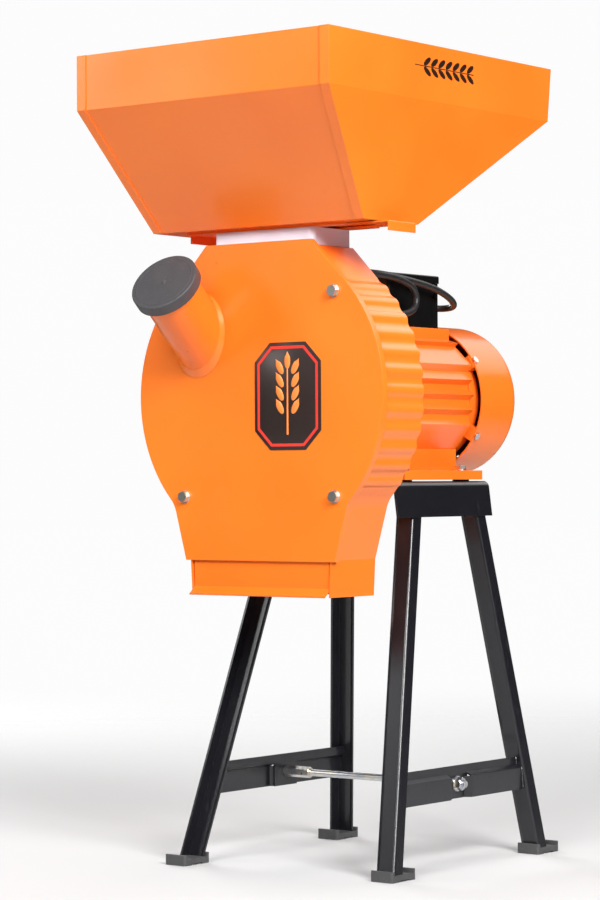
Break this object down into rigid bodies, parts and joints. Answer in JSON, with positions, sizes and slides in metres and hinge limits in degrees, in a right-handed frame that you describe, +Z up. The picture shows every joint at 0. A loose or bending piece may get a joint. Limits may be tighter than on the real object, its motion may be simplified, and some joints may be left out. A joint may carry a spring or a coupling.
{
  "type": "hammer mill",
  "caption": "Electric hammer mill on a four-legged stand: sheet-metal hopper with gate slide, round mill housing with capped feed tube, swinging hammers and a finned motor.",
  "frame": {"origin": "on the floor, under the middle of the mill's overall box", "axes": "+Z up; +Y from the front cover back to the motor's fan cowl; +X to the right of somebody facing the front cover"},
  "size_m": [0.4, 0.5534, 1.0332],
  "materials": {
    "orange_paint": "gloss powder coat",
    "orange_cast": "gloss powder coat over cast aluminium",
    "neck_plastic": "translucent white",
    "black_paint": "semi-gloss paint",
    "zinc_plate": "zinc plated",
    "bare_steel": "bare machined steel",
    "core_steel": "laminated steel",
    "copper": "varnished copper wire",
    "black_rubber": "matt moulded rubber",
    "black_plastic": "fine grained",
    "can_aluminium": "drawn",
    "rocker_red": "polished"
  },
  "bodies": {
    "mill": {"front_cover": "orange_paint", "drum_wall": "orange_paint", "back_plate": "orange_paint", "chute_front": "orange_paint", "cover_bolts": "zinc_plate", "bolt_spacers": "bare_steel", "screen": "bare_steel", "feed_tube": "orange_paint", "stator_core": "core_steel", "windings": "copper", "motor_shell": "orange_cast", "front_end_shield": "orange_cast", "rear_end_shield": "orange_cast", "bearings": "bare_steel", "fan_cowl": "orange_paint", "cowl_screws": "zinc_plate", "motor_base": "orange_cast", "base_bolts": "zinc_plate", "base_pads": "black_rubber", "switch_box": "black_plastic", "box_lid": "black_plastic", "capacitors": "can_aluminium", "switch_bezel": "black_plastic", "cable_gland": "black_rubber", "power_cord": "black_rubber", "cord_coil": "black_rubber", "cord_tail": "black_rubber", "mains_plug": "black_plastic", "stand_top": "black_paint", "cross_bar_right": "black_paint", "cross_bar_left": "black_paint", "tie_rod": "zinc_plate", "tie_rod_nuts": "zinc_plate", "leg_front_right": "black_paint", "leg_rear_right": "black_paint", "leg_front_left": "black_paint", "leg_rear_left": "black_paint", "rubber_feet": "black_rubber", "hopper_left_side": "orange_paint", "hopper_right_side": "orange_paint", "hopper_front": "orange_paint", "hopper_back": "orange_paint", "hopper_floor": "orange_paint", "gate_guides": "orange_paint", "inlet_neck": "neck_plastic", "hopper_bolts": "zinc_plate"},
    "rotor": {"motor_shaft": "bare_steel", "rotor_body": "bare_steel", "hammer_pins": "bare_steel", "pin_spacers": "bare_steel", "rotor_nut": "bare_steel", "rotor_core": "core_steel", "cooling_fan": "black_plastic"},
    "hammers_a": {"hammers_a": "bare_steel"},
    "hammers_b": {"hammers_b": "bare_steel"},
    "hammers_c": {"hammers_c": "bare_steel"},
    "hammers_d": {"hammers_d": "bare_steel"},
    "gate": {"gate_slide": "orange_paint"},
    "cap": {"tube_cap": "black_plastic"},
    "rocker": {"switch_rocker": "rocker_red"}
  },
  "joints": [
    {"name": "rotor_spin", "type": "hinge", "parent": "mill", "child": "rotor", "pos_m": [0, -0.11325, 0.602], "axis": [0, 1, 0], "continuous": true},
    {"name": "hammers_a_swing", "type": "hinge", "parent": "rotor", "child": "hammers_a", "pos_m": [0.085, -0.11325, 0.602], "axis": [0, 1, 0], "range_deg": [-90, 90]},
    {"name": "hammers_b_swing", "type": "hinge", "parent": "rotor", "child": "hammers_b", "pos_m": [0, -0.11325, 0.687], "axis": [0, 1, 0], "range_deg": [-90, 90]},
    {"name": "hammers_c_swing", "type": "hinge", "parent": "rotor", "child": "hammers_c", "pos_m": [-0.085, -0.11325, 0.602], "axis": [0, 1, 0], "range_deg": [-90, 90]},
    {"name": "hammers_d_swing", "type": "hinge", "parent": "rotor", "child": "hammers_d", "pos_m": [0, -0.11325, 0.517], "axis": [0, 1, 0], "range_deg": [-90, 90]},
    {"name": "gate_travel", "type": "slide", "parent": "mill", "child": "gate", "axis": [1, 0, 0], "range_m": [-0.105, 0.045]},
    {"name": "cap_pull", "type": "slide", "parent": "mill", "child": "cap", "axis": [0.0771, -0.771, 0.6322], "range_m": [0, 0.04]},
    {"name": "rocker_tilt", "type": "hinge", "parent": "mill", "child": "rocker", "pos_m": [-0.038, 0.12175, 0.743], "axis": [0, 1, 0], "range_deg": [-20, 0]}
  ]
}
